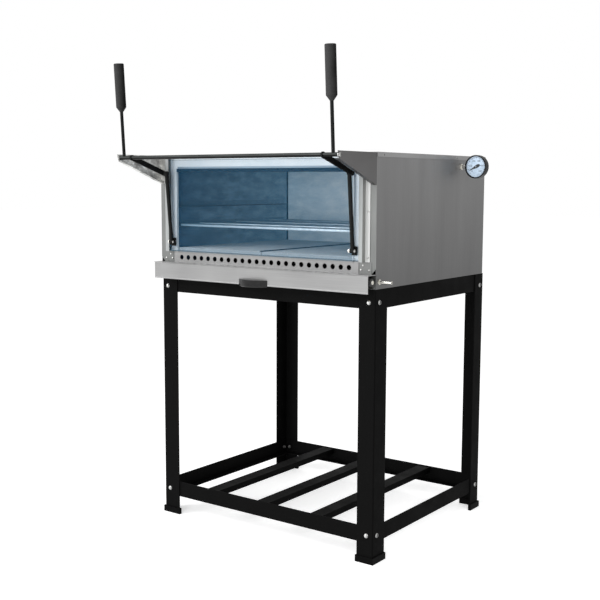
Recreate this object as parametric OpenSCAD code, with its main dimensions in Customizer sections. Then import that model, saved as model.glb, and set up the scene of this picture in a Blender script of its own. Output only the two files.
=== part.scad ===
// Gas pizza oven on an open stand. A frameless glass door slides straight up in two guides,
// lifted by two links from a cross shaft that two weighted handle arms turn.
// Lengths in millimetres. The origin is the outer front corner of the front left foot:
// +X runs to the oven's right, +Y to its back and +Z up.

/* [Oven body] */
// Width over the side panels
body_w = 834; // [760:2:920]
// Depth from the front frame to the back panel
body_d = 674; // [620:2:760]
// Height of the body above the stand
body_h = 388; // [384:2:440]
// Thickness of the outer sheet
sheet = 1.5; // [1:0.1:2]
// Height of the cover's fold down the sides
cover_fold = 13.5; // [10.5:0.5:20]
// Width of the inward folds at the foot of the side panels
panel_fold = 22; // [14:1:30]

/* [Baking chamber] */
// Width of the front frame beside the door opening
frame_side = 75; // [72:0.5:96]
// Height of the front frame above the door opening
frame_head = 54; // [50:0.5:70]
// Height of the opening's sill above the stand
sill_h = 77; // [74:1:84]
// Space between the chamber and the back panel
back_space = 86; // [30:1:110]
// Thickness of the chamber liner
liner_t = 2; // [1.5:0.1:3]
// Thickness of the baking stones
stone_t = 18; // [12:1:20]
// Number of baking stones side by side
stone_count = 2; // [1:1:4]
// Open seam between neighbouring stones
stone_seam = 4; // [1:0.5:8]
// Height of the wire rack above the stones
rack_h = 73; // [60:1:110]
// Diameter of the rack's frame wire
rack_frame_d = 8; // [6:0.5:9]
// Diameter of the rack's inner wires
rack_wire_d = 5; // [3:0.5:5.5]
// Number of long wires inside the rack's frame
rack_wires = 7; // [3:1:22]

/* [Burner strip] */
// Height of the strip under the opening
strip_h = 34.5; // [30:0.5:36]
// Number of air holes
air_holes = 24; // [8:1:26]
// Distance of the outer air holes inside the opening's sides
air_margin = 15.4; // [10:0.2:30]
// Diameter of an air hole
air_hole_d = 15.6; // [8:0.2:18]
// Depth of the ledge in front of the strip
ledge_d = 37; // [32:1:44]
// Diameter of a burner tube
burner_d = 20; // [14:1:22]

/* [Door] */
// Thickness of the door glass
glass_t = 5; // [4:0.5:6]
// How far the glass covers the frame above the opening
glass_head = 38.5; // [20:0.5:46]
// How far the glass covers the frame at each side
glass_lap = 35.8; // [34:0.1:37]
// Depth of a door guide in front of the frame
guide_d = 17; // [12:0.5:20]
// Width of a guide's front lip
guide_lip = 12.6; // [11:0.1:15]
// Width of a guide's riveted flange
guide_flange = 15.7; // [11:0.1:16.5]

/* [Lifting gear] */
// Diameter of the cross shaft
shaft_d = 12; // [11:0.5:14]
// Distance of the shaft in front of the front frame
shaft_reach = 185; // [170:1:200]
// Distance of the shaft below the top of the body
shaft_drop = 12; // [11:0.5:14]
// Distance of a crank's free end in front of the front frame
crank_end_reach = 42; // [34:0.5:60]
// Slope of a crank below level while the door is shut
crank_slope = 18.3; // [14:0.1:22]
// Thickness of a crank
crank_t = 5; // [4:0.5:6]
// Depth of a crank at the shaft
crank_hub_d = 17; // [16:0.5:22]
// Depth of a crank at its free end
crank_end_d = 15; // [13:0.5:17]
// Distance of a link beside the opening's edge
link_out = 10; // [4:0.5:12]
// Diameter of a link rod
link_d = 12; // [9:0.5:13]
// Length of a link between its centres
link_len = 221.2; // [215:0.1:225]
// Distance of a link's lower pivot in front of the glass
link_foot_out = 10.2; // [9.8:0.1:14]
// Width of a link's eyes
eye_w = 8; // [6:0.5:9]
// Diameter of the pin at a link's lower end
link_pin_d = 6; // [5:0.5:7]

/* [Handle arms] */
// Distance of an arm inside the body's side
arm_in = 22; // [21:0.5:30]
// Diameter of an arm's rod
arm_d = 10; // [8:0.5:11]
// Lean of the arms towards the front while the door is shut
arm_lean = 3.5; // [0:0.1:8]
// Distance from the shaft to the top of a weight
arm_len = 287; // [240:1:320]
// Diameter of a weight
weight_d = 31; // [24:0.5:32]
// Length of a weight with its taper
weight_len = 146; // [100:1:170]
// Length of a weight's taper
weight_taper = 14; // [8:0.5:20]

/* [Hood cheeks] */
// Reach of a cheek in front of the shaft
cheek_over = 10; // [8:0.5:24]
// Height of a cheek at the front frame
cheek_h = 91; // [80:1:110]
// Height of a cheek at its nose
cheek_nose_h = 21; // [19:0.5:26]
// Width of the inward lip along a cheek's slanted edge
cheek_lip = 12; // [9:0.5:12]
// Diameter of a shaft pivot bolt
pivot_d = 8; // [6:0.5:9]

/* [Crumb drawer] */
// Height of the drawer front
drawer_front_h = 51; // [48:0.5:54]
// Space beside the crumb tray for the valve and its pipe
tray_side = 45; // [42:0.5:70]
// Space between the crumb tray and the back of the body
tray_back = 79.5; // [40:0.5:120]
// Height of the crumb tray
tray_h = 28; // [20:1:30]
// Thickness of the tray's sheet
tray_t = 1.2; // [1:0.1:1.6]
// Width of the drawer handle
handle_w = 112; // [90:1:140]
// Reach of the drawer handle in front of the drawer
handle_reach = 26; // [24:0.5:34]
// Height of the drawer handle
handle_h = 22; // [16:0.5:26]
// Thickness of the drawer handle
handle_t = 8; // [6:0.5:9]
// Bevel along the drawer handle's edges
handle_bevel = 2; // [0.5:0.5:2.5]

/* [Stand] */
// Height of the stand
stand_h = 812; // [700:2:900]
// How far the stand lies inside the body's sides
stand_inset = 1; // [0:0.5:10]
// How far the stand reaches behind the body
stand_back = 10; // [4:1:16]
// Width of a leg's wide flange
leg_wide = 64; // [58:1:66]
// Width of a leg's narrow flange
leg_narrow = 56; // [50:1:60]
// Thickness of the legs
leg_t = 3; // [2:0.5:4]
// Height of the top rails
top_rail_h = 58; // [50:1:70]
// Height of the lower rails
low_rail_h = 50; // [42:1:60]
// Height of the lower rails above the floor
low_rail_z = 61; // [50:1:120]
// Thickness of the rails and slats
rail_t = 2.5; // [2:0.5:3]
// Inward flange of a rail
rail_lip = 26; // [22:1:32]
// Width of a shelf slat
slat_w = 46; // [34:1:60]
// Depth of a shelf slat
slat_h = 20; // [14:1:26]
// Number of shelf slats
slat_count = 3; // [1:1:6]
// Height of a foot cap
foot_h = 20; // [14:1:28]
// Wall of a foot cap
foot_wall = 3.5; // [2.5:0.5:4.5]
// Diameter of the stand bolts
bolt_d = 8; // [6:0.5:8]
// Diameter of a bolt's domed head
bolt_head_d = 14.6; // [13.6:0.2:16]
// Distance of the bolts from a leg's outer corner
bolt_inset = 23; // [20:0.5:26]

/* [Thermometer] */
// Diameter of the thermometer case
dial_case_d = 73; // [60:1:76]
// Depth of the thermometer case
dial_case_t = 24; // [18:1:28]
// Distance of the case's centre beside the body
dial_out = 58; // [52:1:70]
// Distance of the dial behind the front frame
dial_y = 500; // [400:2:560]
// Distance of the dial's centre below the top of the body
dial_drop = 35; // [32:1:48]
// Diameter of the probe
probe_d = 8; // [6:0.5:9]
// Slope of the resting pointer below level
pointer_slope = 27; // [0:1:45]

/* [Gas inlet] */
// Diameter of the hose tail
tail_d = 9; // [8:0.5:11]
// Bore of the hose tail
tail_bore_d = 5.6; // [4:0.2:6]
// Length of the hose tail outside the panel
tail_l = 45; // [30:1:60]
// Diameter of the valve knob
knob_d = 27; // [22:0.5:28]
// Width of the valve knob
knob_w = 10; // [8:0.5:11]
// Diameter of the gas pipe
pipe_d = 12; // [10:0.5:14]

/* [Hidden] */
$fn = 48;

// One overrun serves every cut
over = 1;
// Gap between flat faces that slide or nearly touch
slip = 0.3;
// Radial clearance of the running pins
run_clear = 0.05;
// Radial clearance of a bolt in its hole
bolt_clear = 0.3;

// Heights above the floor
top_z = stand_h + body_h;
sill_z = stand_h + sill_h;
head_z = top_z - frame_head;
strip_z = sill_z - strip_h;
pan_t = liner_t;
pan_z = strip_z - sheet - pan_t;

// The stand's front face lies a little behind the front frame
stand_setback = 2;
stand_d = body_d + stand_back - stand_setback;
stand_w = body_w - 2 * stand_inset;
foot_base = 3;
foot_clear = 0.2;
// The outer corner of the front left foot in the oven's own frame, whose origin is on the floor
// under the middle of the front frame
datum_x = stand_w / 2 + foot_wall;
datum_y = foot_wall - stand_setback;

half_w = body_w / 2;
half_open = half_w - frame_side;
half_glass = half_open + glass_lap;

// Round head of a bolt or rivet
rivet_d = 7;
rivet_h = 2;
bolt_head_h = 4.5;
nut_h = 5.5;
nut_d = 13.5;
bend_r = 4;

// Shaft, crank and link places while the door is shut
shaft_y = -shaft_reach;
cheek_d = shaft_reach + cheek_over;
link_x = half_open + link_out;
arm_x = half_w - arm_in;
shaft_z = top_z - shaft_drop;
crank_y = -crank_end_reach;
crank_len = (crank_y - shaft_y) / cos(crank_slope);
crank_z = shaft_z - crank_len * sin(crank_slope);

// The glass slides in front of a collar folded forward round the opening, and rests on a tab at the foot
// of each guide
glass_gap = 6.5;
collar_d = glass_gap - slip;
glass_y = -glass_gap - glass_t;
foot_y = glass_y - link_foot_out;
link_lean = asin((foot_y - crank_y) / link_len);
foot_z = crank_z - link_len * cos(link_lean);
tab_t = sheet;
glass_z = sill_z + tab_t + slip;
glass_h = head_z + glass_head - glass_z;
guide_play = 2;
guide_wall_x = half_glass + guide_play;

module datum() { translate([datum_x, datum_y, 0]) children(); }
module right_and_left() {
  children();
  mirror([1, 0, 0]) children();
}
module along_x(x, y, z) { translate([x, y, z]) rotate([0, 90, 0]) children(); }
module along_y(x, y, z) { translate([x, y, z]) rotate([-90, 0, 0]) children(); }
module box(from, to) { translate(from) cube(to - from); }
module rod_x(x0, x1, y, z, d) { along_x(x0, y, z) cylinder(h = x1 - x0, d = d); }
module rod_y(x, y0, y1, z, d) { along_y(x, y0, z) cylinder(h = y1 - y0, d = d); }

// Domed head of diameter d and height h, flat face down
module dome(d, h) {
  r = (d * d / 4 + h * h) / (2 * h);
  intersection() {
    translate([0, 0, h - r]) sphere(r = r, $fn = 64);
    cylinder(h = h + over, d = d);
  }
}

// Bent angle of flanges a along X and b along Y, standing on the floor of its own frame
module angle_bar(a, b, t, len) {
  difference() {
    cube([a, b, len]);
    translate([t, t, -over]) cube([a, b, len + 2 * over]);
    translate([-over, -over, -over]) difference() {
      cube([over + bend_r, over + bend_r, len + 2 * over]);
      translate([over + bend_r, over + bend_r, -over])
        cylinder(h = len + 4 * over, r = bend_r);
    }
  }
}

// Stand

// Shares of a rail's height at which its bolts lie, from the rail's foot
top_bolt_share = 0.33;
low_bolt_share = 0.45;
top_bolt_z = stand_h - top_rail_h * (1 - top_bolt_share);
low_bolt_z = low_rail_z + low_rail_h * low_bolt_share;
leg_z = foot_base;

module leg_bolt_holes() {
  for (z = [top_bolt_z, low_bolt_z]) {
    rod_y(bolt_inset, -over, leg_t + over, z, bolt_d + 2 * bolt_clear);
    rod_x(-over, leg_t + over, bolt_inset, z, bolt_d + 2 * bolt_clear);
  }
}

// A corner of the stand: the children stand in a frame whose corner is a leg's outer edge
module stand_corner(right, rear) {
  mirror([right, 0, 0]) translate([-stand_w / 2, 0, 0])
    translate([0, stand_setback + (rear ? stand_d : 0), 0]) mirror([0, rear, 0]) children();
}

// The four legs are alike: each is turned by a quarter from the one before, so that its wide flange lies
// in front, at the side or at the rear
function leg_a(right, rear) = right == rear ? leg_wide : leg_narrow;
function leg_b(right, rear) = right == rear ? leg_narrow : leg_wide;
module leg(right, rear) {
  color("#1a1a1a") datum() stand_corner(right, rear) difference() {
    translate([0, 0, leg_z])
      angle_bar(leg_a(right, rear), leg_b(right, rear), leg_t, stand_h - leg_z);
    leg_bolt_holes();
  }
}
module leg_fl() { leg(0, 0); }
module leg_fr() { leg(1, 0); }
module leg_rl() { leg(0, 1); }
module leg_rr() { leg(1, 1); }

// L-shaped plug-on cap with a floor under the leg
module foot_cap(a, b) {
  difference() {
    translate([-foot_wall, -foot_wall, 0]) union() {
      cube([a + 2 * foot_wall, leg_t + 2 * foot_wall, foot_h]);
      cube([leg_t + 2 * foot_wall, b + 2 * foot_wall, foot_h]);
    }
    translate([-foot_clear, -foot_clear, foot_base]) union() {
      cube([a + 2 * foot_clear, leg_t + 2 * foot_clear, foot_h]);
      cube([leg_t + 2 * foot_clear, b + 2 * foot_clear, foot_h]);
    }
  }
}
module feet() {
  color("#202020") datum()
    for (right = [0, 1], rear = [0, 1])
      stand_corner(right, rear) foot_cap(leg_a(right, rear), leg_b(right, rear));
}

// A rail lies inside the leg flanges, its face along X and its lip turned towards +Y.
// The lip is notched back at both ends by the given length.
module rail_bar(len, h, lip_up, notch, hole_x, hole_z) {
  difference() {
    union() {
      cube([len, rail_t, h]);
      translate([notch, 0, lip_up ? h - rail_t : 0]) cube([len - 2 * notch, rail_lip, rail_t]);
    }
    for (x = [hole_x, len - hole_x])
      rod_y(x, -over, rail_t + over, hole_z, bolt_d + 2 * bolt_clear);
  }
}

module cross_rail(h, z, lip_up, hole_z, rear) {
  len = stand_w - 2 * leg_t;
  color("#171717") datum() translate([0, stand_setback + (rear ? stand_d : 0), 0]) mirror([0, rear, 0])
    translate([-len / 2, leg_t, z])
      rail_bar(len, h, lip_up, rail_t + rail_lip, bolt_inset - leg_t, hole_z - z);
}
module side_rail(h, z, lip_up, hole_z, right) {
  start = leg_t + rail_t;
  color("#171717") datum() mirror([right, 0, 0])
    translate([-stand_w / 2 + leg_t, stand_setback + start, z]) mirror([1, -1, 0])
      rail_bar(stand_d - 2 * start, h, lip_up, 0, bolt_inset - start, hole_z - z);
}
module rail_top_front() { cross_rail(top_rail_h, stand_h - top_rail_h, true, top_bolt_z, 0); }
module rail_top_rear() { cross_rail(top_rail_h, stand_h - top_rail_h, true, top_bolt_z, 1); }
module rail_top_left() { side_rail(top_rail_h, stand_h - top_rail_h, true, top_bolt_z, 0); }
module rail_top_right() { side_rail(top_rail_h, stand_h - top_rail_h, true, top_bolt_z, 1); }
module rail_low_front() { cross_rail(low_rail_h, low_rail_z, false, low_bolt_z, 0); }
module rail_low_rear() { cross_rail(low_rail_h, low_rail_z, false, low_bolt_z, 1); }
module rail_low_left() { side_rail(low_rail_h, low_rail_z, false, low_bolt_z, 0); }
module rail_low_right() { side_rail(low_rail_h, low_rail_z, false, low_bolt_z, 1); }

// Shelf slats: shallow channels, open downwards, between the lower front and rear rails
module slats() {
  y0 = stand_setback + leg_t + rail_t;
  y1 = stand_setback + stand_d - leg_t - rail_t;
  z1 = low_rail_z + low_rail_h - bend_r / 2;
  color("#171717") datum() for (i = [1:slat_count])
    translate([(i / (slat_count + 1) - 1 / 2) * stand_w, 0, 0]) difference() {
      box([-slat_w / 2, y0, z1 - slat_h], [slat_w / 2, y1, z1]);
      box([-slat_w / 2 + rail_t, y0 - over, z1 - slat_h - over],
        [slat_w / 2 - rail_t, y1 + over, z1 - rail_t]);
    }
}

// A bolt along +Y: domed head in front of the plates at 0, nut behind them at the grip length
module stand_bolt(grip) {
  rotate([90, 0, 0]) dome(bolt_head_d, bolt_head_h);
  rod_y(0, 0, grip + nut_h + bolt_d / 4, 0, bolt_d);
  along_y(0, grip, 0) cylinder(h = nut_h, d = nut_d, $fn = 6);
}

// A rivet in the front of the oven, its head forward
module rivet(x, z) {
  translate([x, -sheet, z]) rotate([90, 0, 0]) dome(rivet_d, rivet_h);
}

rivet_share = 0.6;
rivet_x = guide_wall_x + sheet + guide_flange * rivet_share;
guide_rivet_drop = 56;
guide_rivet_rise = 13;
guide_rivet_share = 0.46;
guide_rivet_z = [top_z - guide_rivet_drop, sill_z + (top_z - sill_z) * guide_rivet_share,
  sill_z + guide_rivet_rise];
cheek_rivet_drops = [63, 85];
cover_screw_front = 34;
cover_screw_share = 0.7;
cover_screw_y = [cover_screw_front, body_d * cover_screw_share];
cover_screw_z = top_z - cover_fold * 0.6;
flange_gap = 1;
cheek_flange = half_w - sheet - (guide_wall_x + sheet + guide_flange) - flange_gap;
corner_w = 41;
corner_drop = 32;
// Places of the corner plate's rivets, as shares of its width and its drop
corner_rivet_shares = [[0.3, 0.3], [0.12, 0.72], [0.8, 0.72]];
strip_lap = 17.5;
plate_x0 = half_open + strip_lap + 2 * sheet;
plate_x1 = plate_x0 + corner_w;

module fasteners() {
  color("#c9c9c6") datum() {
    for (right = [0, 1], rear = [0, 1], z = [top_bolt_z, low_bolt_z]) stand_corner(right, rear) {
      translate([bolt_inset, 0, z]) stand_bolt(leg_t + rail_t);
      translate([0, bolt_inset, z]) mirror([1, -1, 0]) stand_bolt(leg_t + rail_t);
    }
    right_and_left() {
      for (z = guide_rivet_z) rivet(rivet_x, z);
      for (drop = cheek_rivet_drops) rivet(half_w - sheet - cheek_flange / 2, top_z - drop);
      for (share = corner_rivet_shares)
        rivet(plate_x0 + corner_w * share[0], sill_z - corner_drop * share[1]);
      for (y = cover_screw_y) along_x(half_w + sheet, y, cover_screw_z) dome(rivet_d, rivet_h);
    }
  }
}

// Outer casing

module side_panel(right) {
  color("#7a7b7c") datum() mirror([1 - right, 0, 0]) difference() {
    union() {
      box([half_w - sheet, sheet, stand_h], [half_w, body_d, top_z - sheet]);
      box([half_w - panel_fold, sheet, stand_h], [half_w, body_d, stand_h + sheet]);
    }
    if (right) {
      rod_x(half_w - sheet - over, half_w + over, tail_y, tail_z, tail_d + 2 * bolt_clear);
      rod_x(half_w - sheet - over, half_w + over, dial_y, dial_z, probe_d + 2 * bolt_clear);
    }
  }
}
module side_panel_left() { side_panel(0); }
module side_panel_right() { side_panel(1); }

module top_cover() {
  color("#9b9c9d") datum() {
    box([-half_w - sheet, 0, top_z - sheet], [half_w + sheet, body_d + sheet, top_z]);
    right_and_left() box([half_w, 0, top_z - cover_fold], [half_w + sheet, body_d + sheet, top_z]);
    box([-half_w, body_d, top_z - cover_fold], [half_w, body_d + sheet, top_z]);
  }
}

// Flue slots: the fumes leave the chamber through its ceiling and the body through its back panel
flue_slots = 14;
flue_slot_w = 9;
flue_slot_l = 46;
flue_pitch = 22;
flue_drop = 30;
flue_back = 40;
flue_z = head_z - flue_drop - flue_slot_l / 2;
module flue_slot_row(low, high) {
  for (i = [0:flue_slots - 1])
    translate([(i - (flue_slots - 1) / 2) * flue_pitch, 0, 0])
      box([-flue_slot_w / 2, low[0], low[1]], [flue_slot_w / 2, high[0], high[1]]);
}
module back_panel() {
  color("#8d8e8f") datum() difference() {
    box([-half_w + sheet, body_d - sheet, stand_h + sheet], [half_w - sheet, body_d, top_z - sheet]);
    flue_slot_row([body_d - sheet - over, flue_z - flue_slot_l / 2],
      [body_d + over, flue_z + flue_slot_l / 2]);
  }
}

module base_pan() {
  color("#8d8e8f") datum() difference() {
    box([-half_w + sheet, sheet, pan_z], [half_w - sheet, body_d - sheet, pan_z + pan_t]);
    translate([pipe_x, pipe_turn_y, pan_z - over])
      cylinder(h = pan_t + 2 * over, d = pipe_d + 2 * bolt_clear);
  }
}

// Frame with the collar round the opening; its lower outer corners are cut off at a slant
corner_cut = 15;
module front_frame() {
  color("#b4b5b6") datum() difference() {
    union() {
      box([-half_w, 0, strip_z], [half_w, sheet, top_z - sheet]);
      box([-half_open - sheet, -collar_d, sill_z + slip], [half_open + sheet, sheet, head_z + sheet]);
    }
    box([-half_open, -collar_d - over, strip_z - over], [half_open, sheet + over, head_z]);
    right_and_left() translate([half_w, sheet / 2, strip_z]) rotate([0, 45, 0])
      cube([corner_cut * sqrt(2), sheet + 2 * over, corner_cut * sqrt(2)], center = true);
  }
}

// Perforated air strip under the opening, bent forward at its top as the sill and at its foot as a ledge
air_hole_share = 0.47;
module burner_strip() {
  strip_x = half_open + strip_lap;
  air_pitch = (2 * half_open - 2 * air_margin) / (air_holes - 1);
  color("#bcbdbe") datum() difference() {
    union() {
      box([-strip_x, -sheet, strip_z - sheet], [strip_x, 0, sill_z]);
      box([-half_open, -collar_d, sill_z - sheet], [half_open, 0, sill_z]);
      box([-half_w, -ledge_d, strip_z - sheet], [half_w, 0, strip_z]);
    }
    for (i = [0:air_holes - 1])
      rod_y((i - (air_holes - 1) / 2) * air_pitch, -sheet - over, over,
        strip_z + strip_h * air_hole_share, air_hole_d);
  }
}

// Riveted plates at the opening's lower corners, and a light tab inside each side panel below them
panel_tab = 9.5;
module corner_plates() {
  color("#a7a8a9") datum() right_and_left() {
    box([plate_x0, -sheet, sill_z - corner_drop], [plate_x1, 0, sill_z - slip]);
    box([half_w - sheet - panel_tab, sheet, stand_h + sheet], [half_w - sheet, 2 * sheet, pan_z - slip]);
  }
}

// Door guide: flange riveted to the frame, wall, lip in front of the glass edge, and the tab
// at the foot that the glass rests on
module guide(left) {
  right_x = guide_wall_x + sheet;
  guide_top = top_z - 2 * sheet;
  color("#c3c4c5") datum() mirror([left, 0, 0]) {
    box([guide_wall_x, -guide_d, sill_z], [right_x, 0, guide_top]);
    box([guide_wall_x, -sheet, sill_z], [right_x + guide_flange, 0, guide_top]);
    box([right_x - guide_lip, -guide_d, sill_z], [right_x, -guide_d + sheet, guide_top]);
    box([right_x - guide_lip, -guide_d, sill_z], [right_x, 0, sill_z + tab_t]);
  }
}
module guide_left() { guide(1); }
module guide_right() { guide(0); }

// Extrudes an outline drawn in Y and Z along +X from x
module extrude_x(x, len) {
  translate([x, 0, 0]) rotate([90, 0, 90]) linear_extrude(len) children();
}

// Hood cheek: a four-sided plate with a lip along its slanted edge and a riveted rear flange
nose_rake_share = 0.25;
module cheek(left) {
  top = top_z - sheet;
  inner = half_w - sheet;
  nose = [-cheek_d + cheek_nose_h * nose_rake_share, top - cheek_nose_h];
  heel = [0, top - cheek_h];
  slant = (heel - nose) / norm(heel - nose);
  rise = [0, sheet / slant[0]];
  color("#8a8b8c") datum() mirror([left, 0, 0]) difference() {
    union() {
      extrude_x(inner, sheet) polygon([[0, top], [-cheek_d, top], nose, heel]);
      extrude_x(inner - cheek_lip, cheek_lip) polygon([nose, heel, heel + rise, nose + rise]);
      box([inner - cheek_flange, -sheet, top - cheek_h + sheet], [inner, 0, top]);
    }
    rod_x(inner - over, half_w + over, shaft_y, shaft_z, pivot_d + 2 * run_clear);
  }
}
module cheek_left() { cheek(1); }
module cheek_right() { cheek(0); }

// Baking chamber

chamber_d = body_d - back_space;
chamber_y0 = sheet;
chamber_y1 = sheet + chamber_d;
ceiling_drop = 26;
ceiling_z = top_z - ceiling_drop;
stone_rise = 13;
stone_top = sill_z + stone_rise;
bearer_h = 6;
bearer_w = 26;
// Places of the bearers as shares of the chamber's depth
bearer_shares = [0.12, 0.88];
floor_z = pan_z + pan_t;
burner_rise = 4;
burner_z = floor_z + burner_rise + burner_d / 2;

// The side liners stop short of the back liner, which leaves them room to expand
liner_corner_gap = 3.5;
module liner_side(left) {
  color("#9a9b9c") datum() mirror([left, 0, 0]) difference() {
    box([half_open, chamber_y0, floor_z], [half_open + liner_t, chamber_y1 - liner_corner_gap, ceiling_z]);
    if (!left) {
      rod_x(half_open - over, half_open + liner_t + over, pipe_turn_y, burner_z, pipe_d + 2 * bolt_clear);
      rod_x(half_open - over, half_open + liner_t + over, dial_y, dial_z, probe_d + 2 * bolt_clear);
    }
  }
}
module liner_left() { liner_side(1); }
module liner_right() { liner_side(0); }
module liner_back() {
  color("#9a9b9c") datum()
    box([-half_open - liner_t, chamber_y1, floor_z],
      [half_open + liner_t, chamber_y1 + liner_t, ceiling_z]);
}
module liner_top() {
  color("#9a9b9c") datum() difference() {
    box([-half_open - liner_t, chamber_y0, ceiling_z],
      [half_open + liner_t, chamber_y1 + liner_t, ceiling_z + liner_t]);
    flue_slot_row([chamber_y1 - flue_back - flue_slot_l, ceiling_z - over],
      [chamber_y1 - flue_back, ceiling_z + liner_t + over]);
  }
}

// Two flat bars carry the stones over the burner
module stone_bearers() {
  top = stone_top - stone_t;
  color("#5a5a5a") datum() for (share = bearer_shares) {
    y = chamber_y0 + share * chamber_d;
    box([-half_open, y - bearer_w / 2, top - bearer_h], [half_open, y + bearer_w / 2, top]);
  }
}
module stones() {
  gap = 2 * slip;
  w = (2 * half_open - 2 * gap - (stone_count - 1) * stone_seam) / stone_count;
  color("#b9a58c") datum() for (i = [0:stone_count - 1])
    translate([-half_open + gap + i * (w + stone_seam), chamber_y0 + gap, stone_top - stone_t])
      cube([w, chamber_d - 2 * gap, stone_t]);
}

rack_z = stone_top + rack_h;
rack_y0 = 3;
rack_front_gap = 5;
rack_back_gap = 24;
rack_y1 = chamber_y1 - rack_back_gap;
runner_w = 18;
runner_step = 65;
rack_cross_shares = [1 / 3, 2 / 3];
rack_seat_share = 0.9;
module rack_runners() {
  color("#8f9091") datum() right_and_left() for (level = [0, 1]) {
    top = rack_z - rack_frame_d / 2 + level * runner_step;
    box([half_open - runner_w, rack_y0, top - liner_t], [half_open, rack_y1, top]);
    box([half_open - liner_t, rack_y0, top - liner_t], [half_open, rack_y1, top - liner_t + runner_w]);
  }
}

module wire_rack() {
  half = half_open - rack_frame_d;
  y0 = rack_y0 + rack_front_gap;
  y1 = rack_y1 - rack_frame_d;
  cross_x = half_open - runner_w - slip;
  color("#c8c8c8") datum() union() {
    for (y = [y0, y1]) rod_x(-half, half, y, rack_z, rack_frame_d);
    for (x = [-half, half]) {
      rod_y(x, y0, y1, rack_z, rack_frame_d);
      for (y = [y0, y1]) translate([x, y, rack_z]) sphere(d = rack_frame_d);
    }
    for (i = [1:rack_wires]) rod_y(-half + 2 * half * i / (rack_wires + 1), y0, y1, rack_z, rack_wire_d);
    for (share = rack_cross_shares)
      rod_x(-cross_x, cross_x, y0 + share * (y1 - y0), rack_z - rack_wire_d * rack_seat_share, rack_wire_d);
  }
}

// Gas line

tail_y = 14;
valve_inset = 25;
valve_x = half_w - valve_inset;
tail_drop = 18;
tail_z = pan_z - tail_drop;
valve_d = 20;
boss_d = 14;
boss_l = 1;
boss_end = valve_x + valve_d / 2 + boss_l;
spindle_y = -13;
spindle_d = 6;
knob_x = boss_end + slip;
pipe_x = valve_x;
pipe_turn_y = 110;
valve_cap = 2;
valve_y0 = spindle_y - valve_d / 2 - valve_cap;
valve_y1 = tail_y + valve_d;
spindle_end = knob_x + knob_w + boss_l;
burner_inset = 40;
burner_x = half_open - burner_inset;
stub_l = 4;
stub_d = pipe_d * 1.3;
bend_radius = 15;
// Places of the burner tubes as shares of the chamber's depth
burner_row_shares = [0.3, 0.56, 0.82];

module burner() {
  y_rows = [for (share = burner_row_shares) chamber_y0 + chamber_d * share];
  y_end = max(y_rows);
  foot_x = burner_d;
  color("#6d6d6d") datum() union() {
    rod_y(burner_x, pipe_turn_y, y_end, burner_z, burner_d);
    for (y = [pipe_turn_y, y_end]) translate([burner_x, y, burner_z]) sphere(d = burner_d);
    rod_x(burner_x, burner_x + burner_d / 2 + stub_l, pipe_turn_y, burner_z, stub_d);
    for (y = y_rows) {
      rod_x(-burner_x, burner_x, y, burner_z, burner_d);
      translate([-burner_x, y, burner_z]) sphere(d = burner_d);
      for (x = [-burner_x, burner_x / 2])
        box([x, y - burner_d / 4, floor_z], [x + foot_x, y + burner_d / 4, burner_z - burner_d / 4]);
    }
  }
}

// Quarter bend of the pipe, from local +X round to local +Y
module pipe_bend() {
  rotate_extrude(angle = 90) translate([bend_radius, 0]) circle(d = pipe_d);
}
module gas_pipe() {
  color("#b08d57") datum() union() {
    rod_y(pipe_x, valve_y1, pipe_turn_y - bend_radius, tail_z, pipe_d);
    translate([pipe_x, pipe_turn_y - bend_radius, tail_z + bend_radius]) rotate([0, 90, 0]) pipe_bend();
    translate([pipe_x, pipe_turn_y, tail_z + bend_radius])
      cylinder(h = burner_z - tail_z - 2 * bend_radius, d = pipe_d);
    translate([pipe_x - bend_radius, pipe_turn_y, burner_z - bend_radius]) rotate([90, 0, 0]) pipe_bend();
    rod_x(burner_x + burner_d / 2 + stub_l, pipe_x - bend_radius, pipe_turn_y, burner_z, pipe_d);
  }
}

module gas_valve() {
  color("#c2a45f") datum() union() {
    rod_y(valve_x, valve_y0, valve_y1, tail_z, valve_d);
    for (y = [spindle_y, tail_y]) rod_x(valve_x, boss_end, y, tail_z, boss_d);
    rod_x(boss_end, spindle_end, spindle_y, tail_z, spindle_d);
    along_x(spindle_end, spindle_y, tail_z) dome(spindle_d, spindle_d / 4);
  }
}

module valve_knob() {
  r = knob_d / 2;
  flutes = 9;
  flute_d = knob_d / 5;
  flute_z = knob_w * 0.3;
  bevel = knob_w * 0.2;
  bevel_z = knob_w * 0.7;
  color("#1c1c1c") datum() along_x(knob_x, spindle_y, tail_z) difference() {
    rotate_extrude() polygon([[0, 0], [r, 0], [r, bevel_z], [r - bevel, knob_w], [0, knob_w]]);
    for (i = [0:flutes - 1]) rotate([0, 0, i * 360 / flutes])
      translate([r + flute_d / 4, 0, flute_z]) cylinder(h = knob_w, d = flute_d);
    translate([0, 0, -over]) cylinder(h = knob_w + 2 * over, d = spindle_d + 2 * run_clear);
  }
}

tail_nut_l = 5;
tail_nut_d = tail_d * 1.9;
tail_end = half_w + tail_l;
module gas_inlet() {
  color("#cfcfcf") datum() difference() {
    union() {
      rod_x(boss_end, tail_end, tail_y, tail_z, tail_d);
      along_x(half_w, tail_y, tail_z) cylinder(h = tail_nut_l, d = tail_nut_d, $fn = 6);
    }
    rod_x(half_w, tail_end + over, tail_y, tail_z, tail_bore_d);
  }
}

// Thermometer

dial_x = half_w + dial_out;
dial_z = top_z - dial_drop;
dial_front = dial_y - dial_case_t / 2;
dial_rim = 3.5;
dial_in_r = dial_case_d / 2 - dial_rim;
dial_depth = 8;
dial_plate_t = 1;
pointer_t = 0.8;
lens_t = 2;
lens_depth = 1;
dial_pin_d = 2;
stem_nut_l = 6;
stem_neck_d = 13;
stem_nut_d = 21;
probe_reach = 36;

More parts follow.
